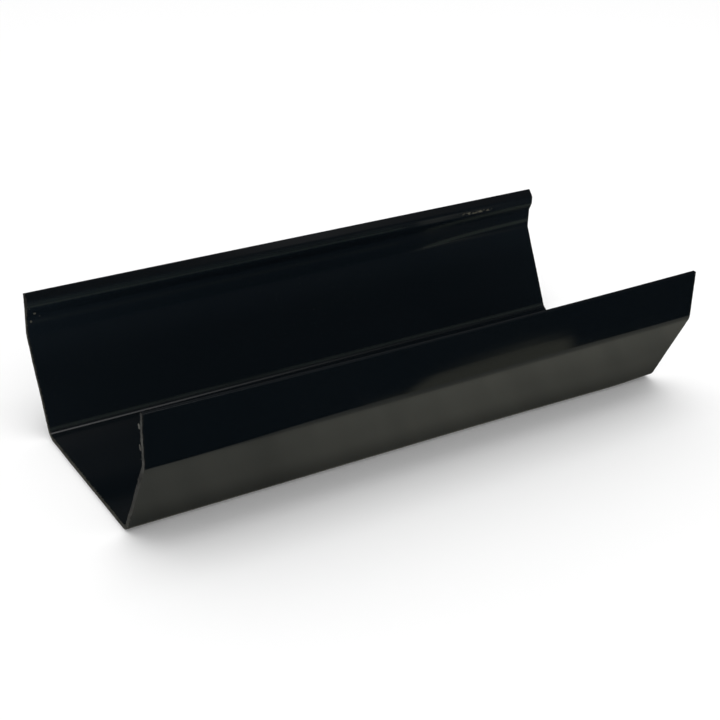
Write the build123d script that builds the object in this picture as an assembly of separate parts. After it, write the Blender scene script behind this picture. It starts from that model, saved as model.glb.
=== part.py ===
from build123d import *
import os

# A short sawn length of an extruded rigid plastic rain gutter, open at the top and at both ends.
# Millimetres. X runs along the gutter, Z is up, and the beaded side faces +Y.
# The origin is under the middle of the underside.

# Driving dimensions
LENGTH = 250.0
WIDTH = 114.0
WALL = 1.8

# The underside is narrower than the mouth, because both sides lean out up to a bend
BASE_WIDTH = 76.0
BEND_HEIGHT = 37.5

# Above the bend both sides stand upright, and the plain side reaches a little higher
PLAIN_UPRIGHT = 21.3
BEADED_UPRIGHT = 18.8
PLAIN_RIM = BEND_HEIGHT + PLAIN_UPRIGHT
BEADED_RIM = BEND_HEIGHT + BEADED_UPRIGHT

# Outside radii of the rounded corners under the sloping sides and of the bends above them
CORNER_RADIUS = 6.0
BEND_RADIUS = 6.0

# The bead is a thicker strip along the inside of the beaded side's rim
BEAD_HEIGHT = 9.8
BEAD_DEPTH = 1.6

# Its foot is a short ramp, and its top is bevelled down from a narrow flat on the rim
BEAD_RAMP_HEIGHT = 3.6
BEAD_BEVEL_HEIGHT = 2.8
RIM_FLAT_WIDTH = 0.8

# Rounding of the bead's corners and of both rims
BEAD_FOOT_RADIUS = 2.0
BEAD_FACE_RADIUS = 3.0
BEAD_SHOULDER_RADIUS = 2.0
RIM_EDGE_RADIUS = 0.3
LIP_EDGE_RADIUS = 0.4


def bead_corners():
    """Where the bead's outline turns, from its foot on the wall up to the rim's outer corner."""
    wall_face = WIDTH / 2 - WALL
    bead_face = wall_face - BEAD_DEPTH
    foot = BEADED_RIM - BEAD_HEIGHT
    return [
        (wall_face, foot),
        (bead_face, foot + BEAD_RAMP_HEIGHT),
        (bead_face, BEADED_RIM - BEAD_BEVEL_HEIGHT),
        (WIDTH / 2 - RIM_FLAT_WIDTH, BEADED_RIM),
        (WIDTH / 2, BEADED_RIM),
    ]


def bead_section():
    """The thick strip at the top of the beaded side, as deep as the wall and the bead together."""
    corners = bead_corners()
    under_foot = (WIDTH / 2, corners[0][1])
    return make_face(Polyline(*corners, under_foot, close=True))


def wall_section():
    """The wall at one thickness, drawn across the gutter from the plain rim to the bead's foot."""
    outside = FilletPolyline(
        (-WIDTH / 2, PLAIN_RIM),
        (-WIDTH / 2, BEND_HEIGHT),
        (-BASE_WIDTH / 2, 0),
        (BASE_WIDTH / 2, 0),
        (WIDTH / 2, BEND_HEIGHT),
        (WIDTH / 2, BEADED_RIM - BEAD_HEIGHT),
        radius=[BEND_RADIUS, CORNER_RADIUS, CORNER_RADIUS, BEND_RADIUS],
    )
    return make_face(offset(outside, WALL, side=Side.LEFT, closed=True))


def rounded(section, corner, radius):
    """The section with the corner nearest to one point rounded."""
    nearest = section.vertices().sort_by_distance((*corner, 0))[0]
    return fillet(nearest, radius)


def gutter_profile():
    """The whole section, with its bead blended into the wall and every edge of its rims rounded."""
    bead_radii = [
        BEAD_FOOT_RADIUS,
        BEAD_FACE_RADIUS,
        BEAD_SHOULDER_RADIUS,
        RIM_EDGE_RADIUS,
        RIM_EDGE_RADIUS,
    ]
    section = wall_section() + bead_section()
    for corner, radius in zip(bead_corners(), bead_radii):
        section = rounded(section, corner, radius)
    for across in (-WIDTH / 2, WALL - WIDTH / 2):
        section = rounded(section, (across, PLAIN_RIM), LIP_EDGE_RADIUS)
    return section


def gutter_section():
    """The profile drawn out to the sawn length, the same both ways from its middle."""
    return extrude(Plane.YZ * gutter_profile(), amount=LENGTH / 2, both=True)


os.makedirs("parts", exist_ok=True)
export_step(gutter_section(), "parts/gutter_section.step")
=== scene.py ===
"""A short sawn length of gloss black plastic rain gutter, lying on a plain pale studio floor.

Everything is in metres in the frame of the loaded model: X runs along the gutter, Z is up,
the beaded side faces +Y, and the origin is under the middle of the underside.
"""

import math
import random

import bmesh
import bpy
from mathutils import Matrix, Vector, noise


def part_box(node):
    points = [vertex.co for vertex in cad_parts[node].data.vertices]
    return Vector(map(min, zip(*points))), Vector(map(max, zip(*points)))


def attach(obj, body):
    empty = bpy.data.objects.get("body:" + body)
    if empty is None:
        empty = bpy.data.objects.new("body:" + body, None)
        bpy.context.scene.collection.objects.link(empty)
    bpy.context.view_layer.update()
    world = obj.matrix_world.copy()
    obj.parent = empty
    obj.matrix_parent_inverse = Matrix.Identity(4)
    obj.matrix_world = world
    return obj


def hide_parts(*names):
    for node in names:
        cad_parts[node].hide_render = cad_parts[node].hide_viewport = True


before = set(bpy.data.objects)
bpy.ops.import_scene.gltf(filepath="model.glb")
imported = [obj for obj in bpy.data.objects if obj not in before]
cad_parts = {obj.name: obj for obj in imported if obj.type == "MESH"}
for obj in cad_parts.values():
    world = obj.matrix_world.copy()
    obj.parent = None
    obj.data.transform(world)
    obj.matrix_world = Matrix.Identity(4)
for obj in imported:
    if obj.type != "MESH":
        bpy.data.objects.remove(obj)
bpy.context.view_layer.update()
MM = 0.001

# The outer sizes come from the frame
NODE = "gutter_section"
BOX_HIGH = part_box(NODE)[1]
HALF_LENGTH = BOX_HIGH.x
HALF_WIDTH = BOX_HIGH.y
LIP_HEIGHT = BOX_HIGH.z

# The rest of the section
WALL = 1.8 * MM
HALF_BASE = 38 * MM
BEND_HEIGHT = 37.5 * MM
RIM_HEIGHT = 56.3 * MM
OUTSIDE_RADIUS = 6 * MM
LIP_EDGE_RADIUS = 0.4 * MM
BEAD_DEPTH = 1.6 * MM
BEAD_FOOT = RIM_HEIGHT - 9.8 * MM
BEAD_RAMP = 3.6 * MM
BEAD_BEVEL = 2.8 * MM
RIM_FLAT = 0.8 * MM
BEAD_RADII = (2.0 * MM, 3.0 * MM, 2.0 * MM)
RIM_EDGE_RADIUS = 0.3 * MM

# How finely the skin is divided, and the turn past which its edges stay sharp
ROW = 0.5 * MM
BEAD_ROW = 0.35 * MM
STATION = 5 * MM
CUT_ROWS = 6
SHARP_EDGE = math.radians(48)

# Stretches of the section whose ends are closer than this share them
TOUCHING = 1e-9

# The skin's materials, in the order of its slots
OUTER, INNER, SAWN = range(3)

# How far the real piece strays from a true extrusion: the plain lip bows out at its middle, the
# plain side spreads and lifts low down from these shares of the half length to the right end,
# and ripple and die lines run all over
LIP_BOW = 1.2 * MM
END_SPREAD = 1.1 * MM
SPREAD_START = 0.15
END_LIFT = 0.8 * MM
LIFT_START = 0.82
RIPPLE = 0.02 * MM
DIE_LINE = 0.006 * MM

# How far in from the ends the saw's edge runs, how much worse it is on the left end's plain
# side, how far along it shows, and how rough the cut faces are
RAGGED_DEPTH = 0.22 * MM
WORST_CUT = 2.0
RAGGED_REACH = 1.6 * MM
CUT_ROUGHNESS = 0.12 * MM

# Where the bead is rubbed pale, and how far off that height it starts to fade and is gone
RUB_START = 84 * MM
RUB_END = 102 * MM
RUB_HEIGHT = 51.7 * MM
RUB_FADE = (0.30 * MM, 0.75 * MM)

# Heights of the painted highlight lines along the inside of the beaded side and of the painted
# sheen along its foot, and where along it the upper two fade out
BEAD_PAINTED_HIGHLIGHT = 51.4 * MM
WALL_PAINTED_HIGHLIGHT = 43.8 * MM
FOOT_PAINTED_SHEEN = 3.9 * MM
LONG_LINES_FADE = (46 * MM, 60 * MM)

# From there on there is a pair of painted highlight lines that sinks away from the end, by this
# much over this length
END_LINES = (49.6 * MM, 41.2 * MM)
END_LINES_SINK = 2.8 * MM
END_LINES_LENGTH = 63 * MM
END_LINES_START = (60 * MM, 70 * MM)

# Heights between which the painted shade on the inside lifts above the floor and again up the
# sides, and deepens at the rim
FLOOR_PAINTED_SHADE = (2 * MM, 5 * MM)
SIDE_PAINTED_SHADE = (24 * MM, 44 * MM)
RIM_PAINTED_SHADE = (52.5 * MM, 54.5 * MM)

# Colours of what lies on the plastic or shows on its cuts, and of the painted highlight lines
DUST = (0.05, 0.05, 0.045)
HAIRS = (0.03, 0.031, 0.03)
CHALK = (0.035, 0.033, 0.026)
# Painted highlight: pale lines standing in for reflections along the inside of the beaded side
PAINTED_HIGHLIGHT_COLOUR = (0.026, 0.032, 0.029)
RUBBED = (0.125, 0.119, 0.088)
OLIVE_CUT = (0.046, 0.042, 0.022)
SLOPE_CUT = (0.018, 0.018, 0.017)
BEAD_CUT = (0.006, 0.008, 0.009)

# Where the last three come in over the cut faces: spans up and across
OLIVE_ACROSS = (-50 * MM, -20 * MM)
SLOPE_UP = (33 * MM, 38 * MM)
SLOPE_ACROSS = (-45 * MM, -30 * MM)
BEAD_UP = (48 * MM, 51.5 * MM)
BEAD_ACROSS = (40 * MM, 50 * MM)

# Threads that the saw left on the edges of the left cut: root, lean, length and width, and the
# radius that is left at their tips. All but the lean, which is a direction, is in mm.
BURRS = (
    ((-124.9, -55.3, 52.5), (0.0, 0.86, 0.50), 2.3, 1.05),
    ((-124.9, -55.3, 44.0), (0.0, 0.74, 0.67), 2.5, 0.95),
    ((-124.8, -56.9, 49.0), (-0.2, -0.5, 0.8), 0.6, 0.30),
    ((-124.8, -55.3, 47.6), (0.0, 0.9, -0.3), 0.7, 0.25),
    ((-124.8, -55.0, 40.3), (0.0, 0.7, -0.7), 0.6, 0.30),
    ((-124.8, -50.9, 29.6), (0.1, 0.9, 0.3), 0.6, 0.25),
    ((-124.8, -40.6, 8.8), (0.1, 0.8, 0.5), 0.5, 0.25),
    ((-124.8, 55.3, 43.0), (0.2, -0.9, 0.2), 0.6, 0.35),
    ((-124.8, 48.9, 25.1), (0.1, -0.9, 0.1), 0.5, 0.25),
)
BURR_TIP = 0.02

# Crumbs of swarf and dirt that cling inside the beaded side: middle and size, in mm
CRUMBS = (
    ((-121.5, 54.75, 47.8), 0.60),
    ((-123.1, 55.15, 44.2), 0.50),
    ((-123.9, 53.65, 50.6), 0.28),
    ((-119.4, 55.15, 45.9), 0.18),
)

# The camera, as a fit on the edges in the photograph gives it
CAMERA_PLACE = Vector((-0.29038, -0.45180, 0.30395))
CAMERA_YAW = math.radians(32.472)
CAMERA_PITCH = math.radians(27.71)
CAMERA_ROLL = math.radians(-1.993)
CAMERA_LENS = 72.91

# The even light of the room, and the lamp's sides, height and strength
ROOM_LIGHT = 0.85
LAMP_SIDES = (1.3, 0.75)
LAMP_HEIGHT = 1.2
LAMP_STRENGTH = 1.3

# A little light of the floor's own, which whitens it where it is seen and lights nothing
FLOOR_VEIL = 0.07

# The room that the gloss shows: half its width, its height and the gap between its floor's layers
ROOM_REACH = 1.6
ROOM_HEIGHT = 1.25
LAYER = 0.05 * MM

# The glow of the room's floor in steps out from under the piece: from, to and what each adds
UNDER_GLOW = 0.02
GLOW_STEPS = (
    (33 * MM, 38 * MM, 0.12),
    (38.5 * MM, 47.5 * MM, 0.145),
    (47 * MM, 60 * MM, 0.06),
)

# Where that floor is a little dimmer: spans along X and out from the middle, beside the right
# end, towards the left one, further out and round a smudge
END_ALONG = (20 * MM, 120 * MM)
END_OUT = (46 * MM, 58 * MM)
START_ALONG = (-66 * MM, -42 * MM)
FAR_ALONG = (-50 * MM, 150 * MM)
FAR_OUT = (54 * MM, 61 * MM)
SMUDGE = -63 * MM
SMUDGE_OFF = (2 * MM, 14 * MM)

# How its bright part ends: it narrows towards the left end, it widens a little round the right
# one, and past that it runs out on a slant
REACH_ALONG = (-105 * MM, 10 * MM)
REACH_OUT = (64 * MM, 108.5 * MM)
WIDER_ALONG = (90 * MM, 170 * MM)
WIDER_OUT = (0.0, 1.5 * MM)
REACH_EDGE = (0.0, 3 * MM)
PAST_END_SLANT = 1.605
PAST_END_EDGE = (4 * MM, 14 * MM)

# The corners of the card with a warm patch of floor
PATCH_LOW = (-30 * MM, -140 * MM)
PATCH_HIGH = (150 * MM, -106 * MM)

# The patch as the upright plain side mirrors it. Its top is the lower of two slanting lines, each
# a slope and its height at the middle. It starts at a line from one place and height, which leans
# along by so many times its rise. It fades over the edges.
PATCH_STEEP = (0.215, 46.4 * MM)
PATCH_LEVEL = (0.045, 44.6 * MM)
PATCH_START = -20 * MM
PATCH_START_HEIGHT = 40 * MM
PATCH_START_LEAN = 2.3
PATCH_TOP_EDGE = (-0.7 * MM, 0.9 * MM)
PATCH_START_EDGE = (-2 * MM, 9 * MM)
PATCH_END_EDGE = (57 * MM, 66 * MM)

# Towards its end the top dips, and a faint tail of it stands above its top
DIP_ALONG = (38 * MM, 66 * MM)
DIP_DEPTH = (0.0, 2.2 * MM)
TAIL_ALONG = (-8 * MM, 20 * MM)
TAIL_UP = (-5 * MM, 0.0)

# By what share the bowed side mirrors the floor higher at its middle
BOW_RAISE = 0.105

# The strip of light on the ceiling: how far towards -Y its middle lies on either side of a turn
# along X, half its width where it starts to fade and where it is gone, its glow at X = 0, how
# fast that falls along X, and the most that it may be
STRIP_TURN = (0.3, 0.8)
STRIP_OFF = (0.24, 0.55)
STRIP_EDGE = (0.12, 0.20)
STRIP_GLOW = 5.4
STRIP_FALL = 4.2
STRIP_MOST = 2.2

# The ceiling's own glow, the span over which it brightens towards the front, and the heights
# between which the front card's two strips fade
CEILING_GLOW = 0.012
CEILING_FRONT = (-0.9, -0.5)
FRONT_FOOT = (0.16, 0.34)
FRONT_TOP = (0.84, 1.10)

# Where the blend node has its sockets for colours
BLEND_INPUTS = (6, 7)
BLEND_OUTPUT = 2


def arc(centre, radius, first, last, steps):
    """Points on an arc in the section's plane, from one angle in degrees to another."""
    angles = [math.radians(first + (last - first) * i / steps) for i in range(steps + 1)]
    return [Vector((centre[0] + radius * math.cos(a), centre[1] + radius * math.sin(a))) for a in angles]


def bent_rungs(corner, first, last, steps):
    """Outside and inside points round a bend whose two faces look towards the given angles."""
    middle = math.radians((first + last) / 2)
    reach = OUTSIDE_RADIUS / math.cos(math.radians((last - first) / 2))
    centre = (corner[0] - reach * math.cos(middle), corner[1] - reach * math.sin(middle))
    outside = arc(centre, OUTSIDE_RADIUS, first, last, steps)
    return list(zip(outside, arc(centre, OUTSIDE_RADIUS - WALL, first, last, steps)))


def lip_rungs():
    """The plain side's top edge, from its narrow flat down over both small roundings."""
    height = LIP_HEIGHT - LIP_EDGE_RADIUS
    outside = arc((LIP_EDGE_RADIUS - HALF_WIDTH, height), LIP_EDGE_RADIUS, 90, 180, 5)
    inside = arc((WALL - LIP_EDGE_RADIUS - HALF_WIDTH, height), LIP_EDGE_RADIUS, 90, 0, 5)
    return list(zip(outside, inside))


def straight(start, end, step):
    """Points between two others at about one spacing, without either of them."""
    steps = max(1, round((end - start).length / step))
    return [start.lerp(end, i / steps) for i in range(1, steps)]


def rounded_line(corners, radii, step):
    """Points along a broken line in the section's plane, with its inner corners rounded."""
    line = [Vector(corners[0])]
    for before, corner, after, radius in zip(corners, corners[1:], corners[2:], radii):
        coming = (Vector(corner) - Vector(before)).normalized()
        going = (Vector(after) - Vector(corner)).normalized()
        turn = math.atan2(coming.x * going.y - coming.y * going.x, coming.dot(going))
        side = Vector((-coming.y, coming.x)) * math.copysign(radius, turn)
        centre = Vector(corner) - coming * radius * math.tan(abs(turn) / 2) + side
        first = math.degrees(math.atan2(-side.y, -side.x))
        bend = arc(centre, radius, first, first + math.degrees(turn), 6)
        line += straight(line[-1], bend[0], step) + bend
    return line + straight(line[-1], Vector(corners[-1]), step) + [Vector(corners[-1])]


def bead_rungs():
    """The beaded side from below the bead's foot up to the rim, where both faces turn in."""
    low = BEAD_FOOT - 1.5 * MM
    wall_face = HALF_WIDTH - WALL
    bead_face = wall_face - BEAD_DEPTH
    turns = [
        (wall_face, low),
        (wall_face, BEAD_FOOT),
        (bead_face, BEAD_FOOT + BEAD_RAMP),
        (bead_face, RIM_HEIGHT - BEAD_BEVEL),
        (HALF_WIDTH - RIM_FLAT, RIM_HEIGHT),
        (HALF_WIDTH - RIM_FLAT * 0.75, RIM_HEIGHT),
    ]
    inside = rounded_line(turns, (*BEAD_RADII, RIM_EDGE_RADIUS), BEAD_ROW)
    edge_centre = (HALF_WIDTH - RIM_EDGE_RADIUS, RIM_HEIGHT - RIM_EDGE_RADIUS)
    edge = arc(edge_centre, RIM_EDGE_RADIUS, 0, 90, 5)
    rise = len(inside) - len(edge)
    foot = Vector((HALF_WIDTH, low))
    return list(zip([foot.lerp(edge[0], i / rise) for i in range(rise)] + edge, inside))


def wall_rungs():
    """Pairs of outside and inside points right round the section, from the plain lip to the bead."""
    slope = math.degrees(math.atan2(HALF_WIDTH - HALF_BASE, BEND_HEIGHT))
    stretches = [
        lip_rungs(),
        bent_rungs((-HALF_WIDTH, BEND_HEIGHT), 180, 180 + slope, 12),
        bent_rungs((-HALF_BASE, 0), 180 + slope, 270, 20),
        bent_rungs((HALF_BASE, 0), 270, 360 - slope, 20),
        bent_rungs((HALF_WIDTH, BEND_HEIGHT), 360 - slope, 360, 12),
        bead_rungs(),
    ]
    rungs = stretches[0]
    for stretch in stretches[1:]:
        start, end = rungs[-1], stretch[0]
        steps = max(1, round((end[0] - start[0]).length / ROW))
        for i in range(1, steps):
            rungs.append(tuple(a.lerp(b, i / steps) for a, b in zip(start, end)))
        rungs.extend(stretch if (end[0] - start[0]).length > TOUCHING else stretch[1:])
    return rungs


def closed_outline(rungs):
    """The section's points once round: the outside, the rim, the inside and the plain lip."""
    rows = [i / CUT_ROWS for i in range(1, CUT_ROWS)]
    rim = [rungs[-1][0].lerp(rungs[-1][1], t) for t in rows]
    lip = [rungs[0][1].lerp(rungs[0][0], t) for t in rows]
    return [r[0] for r in rungs] + rim + [r[1] for r in reversed(rungs)] + lip


def held(t):
    """A number held between 0 and 1."""
    return min(max(t, 0.0), 1.0)


def eased(t):
    """A number taken smoothly from 0 to 1, and held beyond them."""
    t = held(t)
    return t * t * (3 - 2 * t)


def section_noise(first, across, up, scale_across, scale_up):
    """Noise over the section, which its first value changes along the piece or from end to end."""
    return noise.noise(Vector((first, across * scale_across, up * scale_up)))


def strayed(x, across, up):
    """A point of the true extrusion, moved as the thin plastic of the real piece has moved."""
    height = up / LIP_HEIGHT
    along = x / HALF_LENGTH
    plain_side = held(-across / HALF_BASE)
    bow = LIP_BOW * (1 - along**2) * height**1.5 if across < 0 else 0.0
    spreading = eased((along - SPREAD_START) / (1 - SPREAD_START))
    spread = END_SPREAD * plain_side * (1 - height) ** 1.5 * spreading
    lifting = eased((along - LIFT_START) / (1 - LIFT_START))
    lift = END_LIFT * plain_side * (1 - height) ** 2 * lifting
    sway = section_noise(x * 14, across, up, 30, 30) * RIPPLE * (0.3 + height)
    line = section_noise(x * 1.5, across, up, 420, 420) * DIE_LINE
    outward = Vector((0, across * 0.6, up - LIP_HEIGHT / 2)).normalized()
    return Vector((x, across - bow - spread, up + lift)) + outward * (sway + line)


def ragged(across, up, end):
    """How far the saw's edge runs in from the piece's end at one point of the outline."""
    slow = section_noise(end * 3.0, across, up, 90, 90)
    quick = section_noise(end * 7.0, across, up, 700, 700)
    plain_side = held(-across / HALF_BASE) if end < 0 else 0.0
    worst = 1 + (WORST_CUT - 1) * plain_side
    return RAGGED_DEPTH * worst * held(0.5 + 0.6 * slow + 0.35 * quick)


def stations():
    """Distances from the nearer end and that end's sign, along the whole piece."""
    near = [0.0, 0.12 * MM, 0.3 * MM, 0.6 * MM, 1.0 * MM, RAGGED_REACH, 2.6 * MM]
    first = near[-1]
    steps = round((2 * HALF_LENGTH - 2 * first) / STATION)
    middle = [first + (2 * HALF_LENGTH - 2 * first) * i / steps for i in range(1, steps)]
    left = [(d, -1) for d in near + [m for m in middle if m < HALF_LENGTH]]
    right = [(2 * HALF_LENGTH - m, 1) for m in middle if m >= HALF_LENGTH]
    return left + right + [(d, 1) for d in reversed(near)]


def gutter_mesh():
    """The skin swept along the piece and closed by two rough saw cuts."""
    rungs = wall_rungs()
    last = len(rungs) - 1
    outline = closed_outline(rungs)
    size = len(outline)
    places = stations()
    points, faces, dressing = [], [], []
    for distance, end in places:
        fade = max(0.0, 1 - distance / RAGGED_REACH)
        for p in outline:
            x = end * (HALF_LENGTH - distance - ragged(p.x, p.y, end) * fade)
            points.append(strayed(x, p.x, p.y))
    for s in range(len(places) - 1):
        for k in range(size):
            n = (k + 1) % size
            faces.append((s * size + k, s * size + n, (s + 1) * size + n, (s + 1) * size + k))
            dressing.append(OUTER if k < last else INNER)
    for end, ring in ((-1, 0), (1, (len(places) - 1) * size)):
        grid = cut_grid(rungs, end, ring, size, points)
        for k in range(last):
            for j in range(CUT_ROWS):
                quad = (grid[k][j], grid[k][j + 1], grid[k + 1][j + 1], grid[k + 1][j])
                faces.append(quad if end < 0 else quad[::-1])
                dressing.append(SAWN)
    mesh = new_mesh("gutter_skin", points, faces)
    mesh.polygons.foreach_set("use_smooth", [True] * len(faces))
    mesh.polygons.foreach_set("material_index", dressing)
    mesh.set_sharp_from_angle(angle=SHARP_EDGE)
    mesh.validate()
    mesh.update()
    return mesh


def cut_grid(rungs, end, ring, size, points):
    """Vertex numbers over one sawn face, whose border is shared with the skin's end ring."""
    last = len(rungs) - 1
    grid = []
    for k, (outside, inside) in enumerate(rungs):
        row = [ring + k]
        for j in range(1, CUT_ROWS):
            if k == last:
                row.append(ring + last + j)
            elif k == 0:
                row.append(ring + size - j)
            else:
                p = outside.lerp(inside, j / CUT_ROWS)
                tooth = section_noise(end * 5.0, p.x, p.y, 120, 1500)
                grain = section_noise(end * 9.0, p.x, p.y, 2600, 2600)
                depth = RAGGED_DEPTH * 0.5 + CUT_ROUGHNESS * (0.6 * tooth + 0.4 * grain)
                points.append(strayed(end * (HALF_LENGTH - max(depth, 0.0)), p.x, p.y))
                row.append(len(points) - 1)
        row.append(ring + size - CUT_ROWS - k)
        grid.append(row)
    return grid


def burr_mesh():
    """Torn threads of plastic that taper as they curl off the sawn edges."""
    draw = random.Random(7)
    points, faces = [], []
    sides, steps = 7, 12
    for root, lean, length, width in BURRS:
        axis = Vector(lean).normalized()
        side = axis.cross(Vector((1, 0, 0))).normalized()
        flat = axis.cross(side)
        curl = draw.uniform(0.7, 1.2)
        start = len(points)
        for s in range(steps + 1):
            t = s / steps
            forward = axis * length * (t - 0.16 * curl * t**3)
            centre = Vector(root) + forward - side * length * 0.22 * curl * t**2
            radius = width / 2 * (1 - t) ** 0.6 + BURR_TIP
            for i in range(sides):
                a = 2 * math.pi * i / sides
                torn = radius * (1 + 0.22 * draw.uniform(-1, 1))
                off = side * torn * math.cos(a) * 0.6 + flat * torn * math.sin(a)
                points.append((centre + off) * MM)
        for s in range(steps):
            for i in range(sides):
                a, b = start + s * sides + i, start + s * sides + (i + 1) % sides
                faces.append((a, b, b + sides, a + sides))
        faces.append(tuple(start + i for i in reversed(range(sides))))
        faces.append(tuple(start + steps * sides + i for i in range(sides)))
    return closed_mesh("saw_burrs", points, faces)


def crumb_mesh():
    """Small uneven lumps, sunk a little into the face that they cling to."""
    points, faces = [], []
    rings, sides = 7, 10
    for middle, size in CRUMBS:
        start = len(points)
        for r in range(rings + 1):
            polar = math.pi * r / rings
            round_y, along_y = math.sin(polar), math.cos(polar) * 0.6
            for i in range(sides if 0 < r < rings else 1):
                a = 2 * math.pi * i / sides
                way = Vector((round_y * math.cos(a), along_y, round_y * math.sin(a)))
                lump = 1 + 0.45 * noise.noise(way * 1.7 + Vector(middle))
                points.append((Vector(middle) + way * size * lump) * MM)
        first, last = start, len(points) - 1
        for i in range(sides):
            n = (i + 1) % sides
            faces.append((first, first + 1 + n, first + 1 + i))
            faces.append((last, last - sides + i, last - sides + n))
            for r in range(rings - 2):
                row = first + 1 + r * sides
                faces.append((row + i, row + n, row + sides + n, row + sides + i))
    return closed_mesh("swarf_crumbs", points, faces)


def closed_mesh(name, points, faces):
    """A smooth mesh of closed lumps, with every face turned outwards."""
    mesh = new_mesh(name, points, faces)
    shape = bmesh.new()
    shape.from_mesh(mesh)
    bmesh.ops.recalc_face_normals(shape, faces=shape.faces)
    shape.to_mesh(mesh)
    shape.free()
    mesh.polygons.foreach_set("use_smooth", [True] * len(faces))
    mesh.update()
    return mesh


def new_mesh(name, points, faces):
    """A mesh from its points and faces."""
    mesh = bpy.data.meshes.new(name)
    mesh.from_pydata(points, [], faces)
    return mesh


def placed(name, data):
    """A new object, linked into the scene."""
    thing = bpy.data.objects.new(name, data)
    bpy.context.scene.collection.objects.link(thing)
    return thing


def finished(name, mesh, materials):
    """A piece of the part, linked, dressed and riding on its body."""
    piece = placed(name, mesh)
    for material in materials:
        mesh.materials.append(material)
    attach(piece, "root")
    return piece


def add(tree, kind, inputs=None, **settings):
    """A shader node with its settings made and its sockets filled or joined."""
    node = tree.nodes.new(kind)
    for name, value in settings.items():
        setattr(node, name, value)
    for name, value in (inputs or {}).items():
        if isinstance(value, bpy.types.NodeSocket):
            tree.links.new(value, node.inputs[name])
        else:
            node.inputs[name].default_value = value
    return node


def maths(tree, operation, first, *others, clamp=False):
    """The result of one operation on its values, taken one after another."""
    for other in others or (0.0,):
        inputs = {0: first, 1: other}
        first = add(tree, "ShaderNodeMath", inputs, operation=operation, use_clamp=clamp).outputs[0]
    return first


def ramped(tree, value, low, high, bottom=0.0, top=1.0):
    """A value taken smoothly from one range to another."""
    inputs = {"Value": value, "From Min": low, "From Max": high, "To Min": bottom, "To Max": top}
    return add(tree, "ShaderNodeMapRange", inputs, interpolation_type="SMOOTHSTEP").outputs["Result"]


def streak(tree, height, middle, below, above):
    """How strong a soft streak is at one height: full at its middle, nothing at its two reaches."""
    off = maths(tree, "SUBTRACT", height, middle)
    fading = ramped(tree, off, 0.0, above, 1.0, 0.0)
    return maths(tree, "MULTIPLY", ramped(tree, off, -below, 0.0), fading)


def stretched_noise(tree, place, stretch, scale, detail=2.0, roughness=0.5):
    """Noise on object coordinates that are first multiplied axis by axis."""
    pulled = add(tree, "ShaderNodeVectorMath", {0: place, 1: stretch}, operation="MULTIPLY")
    inputs = {"Vector": pulled.outputs[0], "Scale": scale, "Detail": detail, "Roughness": roughness}
    return add(tree, "ShaderNodeTexNoise", inputs).outputs["Fac"]


def mixed(tree, factor, a, b):
    """A blend of two colours."""
    node = add(tree, "ShaderNodeMix", {"Factor": factor}, data_type="RGBA")
    for number, value in zip(BLEND_INPUTS, (a, b)):
        if isinstance(value, bpy.types.NodeSocket):
            tree.links.new(value, node.inputs[number])
        else:
            node.inputs[number].default_value = (*value, 1.0)
    return node.outputs[BLEND_OUTPUT]


def bumped(tree, height, distance, strength=1.0, normal=None):
    """A bump from a height value, laid on the one below it."""
    inputs = {"Height": height, "Distance": distance, "Strength": strength}
    if normal is not None:
        inputs["Normal"] = normal
    return add(tree, "ShaderNodeBump", inputs).outputs["Normal"]


def bare_material(name):
    """A material with an empty node tree."""
    material = bpy.data.materials.new(name)
    material.use_nodes = True
    material.node_tree.nodes.clear()
    return material, material.node_tree


def object_place(tree):
    """The object's own coordinates as one vector, and as X, Y and Z."""
    place = add(tree, "ShaderNodeTexCoord").outputs["Object"]
    return place, add(tree, "ShaderNodeSeparateXYZ", {0: place}).outputs


def shaded(tree, colour, roughness, normal):
    """The plastic's shader and its output, fed by its colour, roughness and normal."""
    inputs = {"IOR": 1.5, "Base Color": colour, "Roughness": roughness, "Normal": normal}
    shader = add(tree, "ShaderNodeBsdfPrincipled", inputs)
    add(tree, "ShaderNodeOutputMaterial", {"Surface": shader.outputs[0]})


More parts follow.
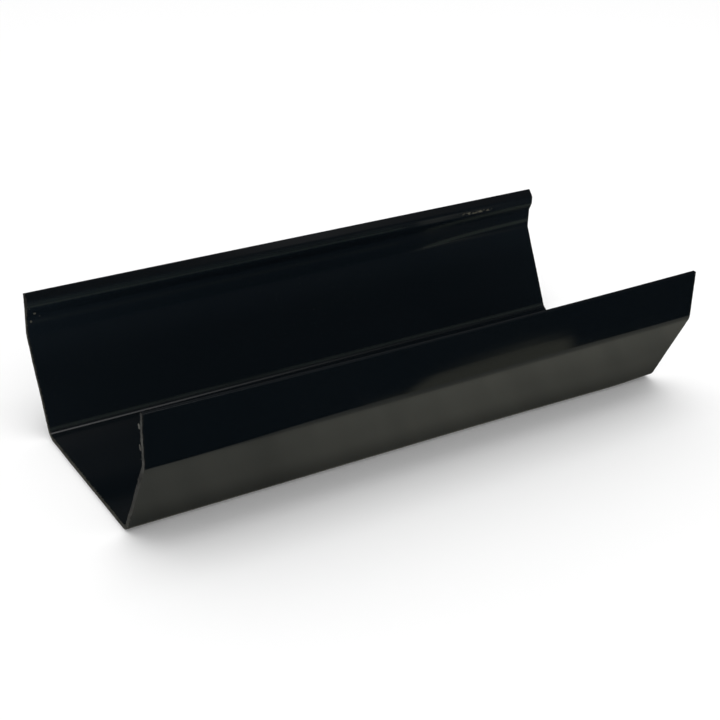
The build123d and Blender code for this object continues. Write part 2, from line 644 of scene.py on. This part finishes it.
def gloss_black_plastic(name, tones, shares, roughness_range, painted_lines_and_rub):
    """Extruded plastic between two near blacks: glossy, with faint die lines, hairs, dust and rubs.

    Only shares of that colour are left on the trough's floor, low on its sides and up at the rim,
    as painted shade. One of them also has painted highlight lines, a painted sheen along its foot
    and the rubbed bead.
    """
    material, tree = bare_material(name)
    place, (x, y, z) = object_place(tree)
    clouds = stretched_noise(tree, place, (0.5, 1, 1), 45.0, 3.0)
    die_lines = stretched_noise(tree, place, (0.006, 1, 1), 900.0, 3.0, 0.6)
    peel = stretched_noise(tree, place, (0.6, 1, 1), 500.0, 2.0)
    long_hairs = ramped(tree, stretched_noise(tree, place, (0.03, 1, 1), 2600.0, 1.0), 0.70, 0.76)
    cross_hairs = ramped(tree, stretched_noise(tree, place, (1, 0.05, 0.05), 1500.0, 1.0), 0.73, 0.79)
    hairs = maths(tree, "MAXIMUM", long_hairs, cross_hairs)
    specks = ramped(tree, stretched_noise(tree, place, (1, 1, 1), 1400.0, 2.0), 0.66, 0.76)
    dusty = ramped(tree, stretched_noise(tree, place, (1, 1, 1), 28.0), 0.42, 0.66)
    dust = maths(tree, "MULTIPLY", specks, dusty)
    from_middle = maths(tree, "ABSOLUTE", x)
    near_cut = ramped(tree, from_middle, HALF_LENGTH - 1.0 * MM, HALF_LENGTH - 0.1 * MM)
    grain = ramped(tree, stretched_noise(tree, place, (1, 1, 1), 900.0, 3.0), 0.35, 0.65)
    chalk = maths(tree, "MULTIPLY", near_cut, grain)
    # Painted shade: the colour is cut to these shares on the floor, low on the sides and at the rim
    floor_shade_share, side_shade_share, rim_shade_share = shares
    share = maths(
        tree,
        "MULTIPLY",
        ramped(tree, z, *FLOOR_PAINTED_SHADE, floor_shade_share, 1.0),
        ramped(tree, z, *SIDE_PAINTED_SHADE, side_shade_share, 1.0),
        ramped(tree, z, *RIM_PAINTED_SHADE, 1.0, rim_shade_share),
    )
    colour = mixed(tree, share, (0, 0, 0), mixed(tree, clouds, *tones))
    for wear, most, tone in ((dust, 0.15, DUST), (hairs, 0.015, HAIRS), (chalk, 0.45, CHALK)):
        colour = mixed(tree, maths(tree, "MULTIPLY", wear, most), colour, tone)
    # Painted highlight lines and painted sheen, then the real rubbed flecks on the bead
    if painted_lines_and_rub:
        colour = mixed(tree, painted_highlight_lines(tree, place, x, y, z), colour, PAINTED_HIGHLIGHT_COLOUR)
        colour = mixed(tree, rub_mark(tree, place, x, y, z), colour, RUBBED)
    roughness = ramped(tree, clouds, 0.2, 0.8, *roughness_range)
    for wear, rise in ((die_lines, 0.02), (hairs, 0.04), (dust, 0.15), (chalk, 0.3)):
        roughness = maths(tree, "ADD", roughness, maths(tree, "MULTIPLY", wear, rise), clamp=True)
    normal = bumped(tree, die_lines, 0.003 * MM)
    normal = bumped(tree, peel, 0.004 * MM, normal=normal)
    shaded(tree, colour, roughness, bumped(tree, hairs, -0.001 * MM, normal=normal))
    return material


def painted_highlight_lines(tree, place, along, across, height):
    """How strong the painted highlights are on the beaded side's inside and along its foot."""
    # Painted highlights: pale streaks standing in for reflections along the bead and the wall below it
    band = streak(tree, height, BEAD_PAINTED_HIGHLIGHT, 0.8 * MM, 0.7 * MM)
    plateau = streak(tree, height, BEAD_PAINTED_HIGHLIGHT + 0.8 * MM, 1.6 * MM, 1.6 * MM)
    low_band = streak(tree, height, WALL_PAINTED_HIGHLIGHT, 1.5 * MM, 1.3 * MM)
    faint = maths(tree, "MULTIPLY", plateau, 0.45)
    faintest = maths(tree, "MULTIPLY", low_band, 0.25)
    long_lines = maths(tree, "MAXIMUM", band, faint, faintest)
    long_lines = maths(tree, "MULTIPLY", long_lines, ramped(tree, along, *LONG_LINES_FADE, 0.75, 0.0))
    back = maths(tree, "DIVIDE", maths(tree, "SUBTRACT", HALF_LENGTH, along), END_LINES_LENGTH)
    sink = maths(tree, "MULTIPLY", maths(tree, "POWER", back, 2.0), END_LINES_SINK)
    raised = maths(tree, "ADD", height, sink)
    upper = streak(tree, raised, END_LINES[0], 2.2 * MM, 1.4 * MM)
    lower = streak(tree, raised, END_LINES[1], 1.5 * MM, 1.5 * MM)
    end_lines = maths(tree, "MAXIMUM", upper, lower)
    end_lines = maths(tree, "MULTIPLY", end_lines, ramped(tree, along, *END_LINES_START))
    on_side = ramped(tree, across, 40 * MM, 50 * MM)
    lines = maths(tree, "MULTIPLY", maths(tree, "MAXIMUM", long_lines, end_lines), on_side)
    # Painted sheen: a soft pale streak just above the trough's far fillet, standing in for its
    # reflection
    on_foot = ramped(tree, across, 35 * MM, 37 * MM)
    foot_sheen = streak(tree, height, FOOT_PAINTED_SHEEN, 1.0 * MM, 1.1 * MM)
    foot_sheen = maths(tree, "MULTIPLY", foot_sheen, 0.5, on_foot)
    patches = ramped(tree, stretched_noise(tree, place, (0.25, 1, 1), 120.0), 0.25, 0.6, 0.6, 1.0)
    return maths(tree, "MULTIPLY", maths(tree, "MAXIMUM", lines, foot_sheen), patches)


def rub_mark(tree, place, along, across, height):
    """How pale the bead is where something has rubbed broken flecks onto it near one end."""
    start = ramped(tree, along, RUB_START, RUB_START + 2 * MM)
    stop = ramped(tree, along, RUB_END - 3 * MM, RUB_END, 1.0, 0.0)
    off = maths(tree, "ABSOLUTE", maths(tree, "SUBTRACT", height, RUB_HEIGHT))
    band = ramped(tree, off, *RUB_FADE, 1.0, 0.0)
    side = ramped(tree, across, 0.0, 50 * MM)
    flecks = ramped(tree, stretched_noise(tree, place, (1, 1, 1.5), 620.0, 2.0), 0.42, 0.62)
    return maths(tree, "MULTIPLY", start, stop, band, side, flecks)


def sawn_plastic(name, dark, pale):
    """The same plastic torn dull and pale by the saw's teeth, dimmer on the slope and at the bead."""
    material, tree = bare_material(name)
    place, (x, y, z) = object_place(tree)
    marks = stretched_noise(tree, place, (1, 0.12, 1), 1600.0, 3.0, 0.6)
    grain = stretched_noise(tree, place, (1, 1, 1), 3800.0, 3.0, 0.6)
    blotches = stretched_noise(tree, place, (1, 1, 1), 260.0, 2.0)
    blotches = maths(tree, "MULTIPLY", blotches, 0.4)
    tone = maths(tree, "ADD", maths(tree, "MULTIPLY", marks, 0.6), blotches)
    colour = mixed(tree, ramped(tree, tone, 0.3, 0.7), dark, pale)
    olive = ramped(tree, y, *OLIVE_ACROSS, 0.0, 0.55)
    slope = ramped(tree, z, *SLOPE_UP, 0.5, 0.0)
    slope = maths(tree, "MULTIPLY", slope, ramped(tree, y, *SLOPE_ACROSS, 1.0, 0.0))
    bead = ramped(tree, z, *BEAD_UP)
    bead = maths(tree, "MULTIPLY", bead, ramped(tree, y, *BEAD_ACROSS, 0.0, 0.75))
    for share, tint in ((olive, OLIVE_CUT), (slope, SLOPE_CUT), (bead, BEAD_CUT)):
        colour = mixed(tree, share, colour, tint)
    normal = bumped(tree, marks, 0.08 * MM, 0.8)
    normal = bumped(tree, grain, 0.03 * MM, 0.8, normal)
    shaded(tree, colour, ramped(tree, grain, 0.3, 0.7, 0.55, 0.85), normal)
    return material


def stage_card(name, corners, colour, glow):
    """A flat card of the studio that only the gloss shows. Its glow is a number or a function."""
    mesh = new_mesh(name, corners, [(0, 1, 2, 3)])
    material, tree = bare_material(name)
    strength = glow
    if callable(glow):
        strength = glow(tree, *object_place(tree)[1])
    light = add(tree, "ShaderNodeEmission", {"Color": (*colour, 1.0), "Strength": strength})
    add(tree, "ShaderNodeOutputMaterial", {"Surface": light.outputs[0]})
    mesh.materials.append(material)
    card = placed(name, mesh)
    card.visible_camera = False
    card.visible_diffuse = False
    card.visible_shadow = False
    card.visible_transmission = False
    card.visible_volume_scatter = False


def level_card(low, high, z):
    """The corners of a level card from its lowest to its highest X and Y."""
    return [(low[0], low[1], z), (high[0], low[1], z), (high[0], high[1], z), (low[0], high[1], z)]


def floor_glow(tree, x, y, z):
    """The floor in the gloss: pale just beside the piece, out to where a darker surface begins."""
    out = maths(tree, "ABSOLUTE", y)
    pale = UNDER_GLOW
    for start, end, rise in GLOW_STEPS:
        pale = maths(tree, "ADD", pale, ramped(tree, out, start, end, 0.0, rise))
    beside_end = ramped(tree, x, *END_ALONG, 1.0, 0.85)
    towards_end = ramped(tree, out, *END_OUT, beside_end, 1.0)
    towards_start = ramped(tree, x, *START_ALONG, 0.88, 1.0)
    far_share = ramped(tree, x, *FAR_ALONG, 0.79, 0.97)
    further_out = ramped(tree, out, *FAR_OUT, 1.0, far_share)
    off_smudge = maths(tree, "ABSOLUTE", maths(tree, "SUBTRACT", x, SMUDGE))
    smudge = ramped(tree, off_smudge, *SMUDGE_OFF, 0.87, 1.0)
    blotches = stretched_noise(tree, object_place(tree)[0], (1, 0.4, 1), 55.0)
    clouds = ramped(tree, blotches, 0.25, 0.75, 0.92, 1.08)
    reach = ramped(tree, x, *REACH_ALONG, *REACH_OUT)
    reach = maths(tree, "ADD", reach, ramped(tree, x, *WIDER_ALONG, *WIDER_OUT))
    edge = ramped(tree, maths(tree, "SUBTRACT", out, reach), *REACH_EDGE, 1.0, 0.0)
    slant = maths(tree, "MULTIPLY", maths(tree, "SUBTRACT", out, HALF_BASE), PAST_END_SLANT)
    past_end = maths(tree, "SUBTRACT", x, HALF_LENGTH, slant)
    ending = ramped(tree, past_end, *PAST_END_EDGE, 1.0, 0.08)
    shares = (towards_end, towards_start, further_out, smudge, clouds, edge, ending)
    return maths(tree, "MULTIPLY", pale, *shares)


def mirrored_place(tree, x, y):
    """Where the photograph shows a floor point mirrored in the upright plain side: along it and up."""
    out = maths(tree, "SUBTRACT", maths(tree, "MULTIPLY", y, -1.0), HALF_WIDTH)
    ratio = maths(tree, "DIVIDE", out, -CAMERA_PLACE.y - HALF_WIDTH)
    share = maths(tree, "DIVIDE", 1.0, maths(tree, "ADD", ratio, 1.0))
    height = maths(tree, "MULTIPLY", ratio, share, CAMERA_PLACE.z)
    along = maths(tree, "ADD", x, maths(tree, "MULTIPLY", ratio, CAMERA_PLACE.x))
    along = maths(tree, "MULTIPLY", along, share)
    from_middle = maths(tree, "POWER", maths(tree, "DIVIDE", along, HALF_LENGTH), 2.0)
    bowed = maths(tree, "MULTIPLY", maths(tree, "SUBTRACT", 1.0, from_middle), BOW_RAISE)
    return along, maths(tree, "MULTIPLY", height, maths(tree, "ADD", bowed, 1.0))


def patch_glow(tree, x, y, z):
    """A warm patch on the floor, laid out so that the upright plain side mirrors it above its bend."""
    along, height = mirrored_place(tree, x, y)
    steep, level = (
        maths(tree, "ADD", maths(tree, "MULTIPLY", along, slope), middle)
        for slope, middle in (PATCH_STEEP, PATCH_LEVEL)
    )
    dip = ramped(tree, along, *DIP_ALONG, *DIP_DEPTH)
    top = maths(tree, "SUBTRACT", maths(tree, "MINIMUM", steep, level), dip)
    under = maths(tree, "SUBTRACT", top, height)
    above = ramped(tree, under, *TAIL_UP, 0.0, 0.14)
    tail = maths(tree, "MULTIPLY", above, ramped(tree, along, *TAIL_ALONG))
    patch = maths(tree, "MAXIMUM", ramped(tree, under, *PATCH_TOP_EDGE), tail)
    risen = maths(tree, "SUBTRACT", height, PATCH_START_HEIGHT)
    lean = maths(tree, "MULTIPLY", risen, PATCH_START_LEAN)
    past_start = maths(tree, "SUBTRACT", along, PATCH_START, lean)
    starting = ramped(tree, past_start, *PATCH_START_EDGE)
    ending = ramped(tree, along, *PATCH_END_EDGE, 0.30, 0.0)
    patch = maths(tree, "MULTIPLY", patch, starting, ending)
    return maths(tree, "MAXIMUM", patch, floor_glow(tree, x, y, z))


def ceiling_glow(tree, x, y, z):
    """The ceiling in the gloss: one soft strip of light that fades along +X, and a dim front."""
    off = maths(tree, "ABSOLUTE", maths(tree, "ADD", y, ramped(tree, x, *STRIP_TURN, *STRIP_OFF)))
    fall = maths(tree, "EXPONENT", maths(tree, "MULTIPLY", x, -STRIP_FALL))
    strip = maths(tree, "MINIMUM", maths(tree, "MULTIPLY", fall, STRIP_GLOW), STRIP_MOST)
    strip = maths(tree, "MULTIPLY", strip, ramped(tree, off, *STRIP_EDGE, 1.0, 0.0))
    front = ramped(tree, y, *CEILING_FRONT, 0.03, 0.0)
    return maths(tree, "ADD", strip, front, CEILING_GLOW)


def front_glow(tree, x, y, z):
    """The front of the room in the gloss: a dim strip along its foot and another near its top."""
    foot = ramped(tree, z, *FRONT_FOOT, 0.12, 0.0)
    return maths(tree, "ADD", foot, ramped(tree, z, *FRONT_TOP, 0.0, 0.03))


def studio_cards():
    """A dim room round the set, which shows only in the gloss."""
    low, high = (-ROOM_REACH, -ROOM_REACH), (ROOM_REACH, ROOM_REACH)
    grey, pale, warm = (1.0, 1.0, 1.0), (1.0, 0.99, 0.83), (1.0, 0.97, 0.71)
    floor, ceiling = level_card(low, high, 0), level_card(low, high, ROOM_HEIGHT)
    walls = (
        ("card_front", 0, 1, (1.0, 0.98, 0.85), front_glow),
        ("card_back", 2, 3, grey, 0.070),
        ("card_left", 3, 0, grey, 0.02),
        ("card_right", 1, 2, grey, 0.03),
    )
    for name, first, second, colour, glow in walls:
        corners = [floor[first], floor[second], ceiling[second], ceiling[first]]
        stage_card(name, corners, colour, glow)
    stage_card("card_ceiling", ceiling, grey, ceiling_glow)
    stage_card("card_floor", level_card(low, high, -2 * LAYER), pale, floor_glow)
    stage_card("card_patch", level_card(PATCH_LOW, PATCH_HIGH, -LAYER), warm, patch_glow)


def studio_floor():
    """A wide matt floor, pale and plain, which the camera sees as all but white."""
    reach = 6.0
    corners = level_card((-reach, -reach), (reach, reach), -3 * LAYER)
    mesh = new_mesh("studio_floor", corners, [(0, 1, 2, 3)])
    material, tree = bare_material("studio_floor")
    matt = add(tree, "ShaderNodeBsdfDiffuse", {"Color": (0.93, 0.93, 0.93, 1.0)})
    rays = add(tree, "ShaderNodeLightPath").outputs
    seen = [rays[f"Is {kind} Ray"] for kind in ("Camera", "Glossy", "Transmission")]
    glow = maths(tree, "MULTIPLY", maths(tree, "ADD", *seen), FLOOR_VEIL)
    veil = add(tree, "ShaderNodeEmission", {"Strength": glow})
    both = add(tree, "ShaderNodeAddShader", {0: matt.outputs[0], 1: veil.outputs[0]})
    add(tree, "ShaderNodeOutputMaterial", {"Surface": both.outputs[0]})
    mesh.materials.append(material)
    placed("studio_floor", mesh)


def studio_lights():
    """An even pale room light and one large soft lamp overhead, which the gloss doesn't show."""
    world = bpy.data.worlds.new("studio_world")
    bpy.context.scene.world = world
    world.use_nodes = True
    background = world.node_tree.nodes["Background"]
    background.inputs["Color"].default_value = (1.0, 1.0, 1.0, 1.0)
    background.inputs["Strength"].default_value = ROOM_LIGHT
    lamp = bpy.data.lights.new("soft_lamp", "AREA")
    lamp.shape = "RECTANGLE"
    lamp.size, lamp.size_y = LAMP_SIDES
    lamp.energy = LAMP_STRENGTH * math.pi * lamp.size * lamp.size_y
    lamp_object = placed("soft_lamp", lamp)
    lamp_object.location = (0.0, 0.0, LAMP_HEIGHT)
    lamp_object.visible_glossy = False


def photo_camera():
    """The camera where the photograph was taken from."""
    forward = Vector((
        math.sin(CAMERA_YAW) * math.cos(CAMERA_PITCH),
        math.cos(CAMERA_YAW) * math.cos(CAMERA_PITCH),
        -math.sin(CAMERA_PITCH),
    ))
    level = Vector((math.cos(CAMERA_YAW), -math.sin(CAMERA_YAW), 0))
    down = forward.cross(level)
    right = level * math.cos(CAMERA_ROLL) + down * math.sin(CAMERA_ROLL)
    up = level * math.sin(CAMERA_ROLL) - down * math.cos(CAMERA_ROLL)
    camera = placed("photo_camera", bpy.data.cameras.new("photo_camera"))
    camera.data.lens = CAMERA_LENS
    camera.data.sensor_width = 36
    camera.data.clip_start = 0.01
    turn = Matrix((right, up, -forward)).transposed().to_4x4()
    camera.matrix_world = Matrix.Translation(CAMERA_PLACE) @ turn
    bpy.context.scene.camera = camera


outer_face = gloss_black_plastic(
    "gloss_black_outer",
    tones=((0.0029, 0.0046, 0.0062), (0.0035, 0.0053, 0.0070)),
    shares=(1.0, 1.0, 1.0),
    roughness_range=(0.06, 0.09),
    painted_lines_and_rub=False,
)
# The inside's tones are painted lighter than the outside's, standing in for light; its shares are
# painted shade
painted_lighter_inner = gloss_black_plastic(
    "gloss_black_inner_painted_lighter",
    tones=((0.0058, 0.0092, 0.0125), (0.0067, 0.0105, 0.0142)),
    shares=(0.62, 0.64, 0.38),
    roughness_range=(0.11, 0.15),
    painted_lines_and_rub=True,
)
pale_cut = sawn_plastic("sawn_plastic", dark=(0.022, 0.023, 0.021), pale=(0.110, 0.108, 0.098))
pale_shreds = sawn_plastic("pale_shreds", dark=(0.060, 0.060, 0.052), pale=(0.150, 0.147, 0.130))

skin = finished("gutter_skin", gutter_mesh(), [outer_face, painted_lighter_inner, pale_cut])
flat_faces = skin.modifiers.new("flat_faces", "WEIGHTED_NORMAL")
flat_faces.keep_sharp = True
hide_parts(NODE)
finished("saw_burrs", burr_mesh(), [pale_shreds])
finished("swarf_crumbs", crumb_mesh(), [pale_shreds])

studio_floor()
studio_cards()
studio_lights()
photo_camera()
bpy.context.scene.view_settings.view_transform = "Standard"
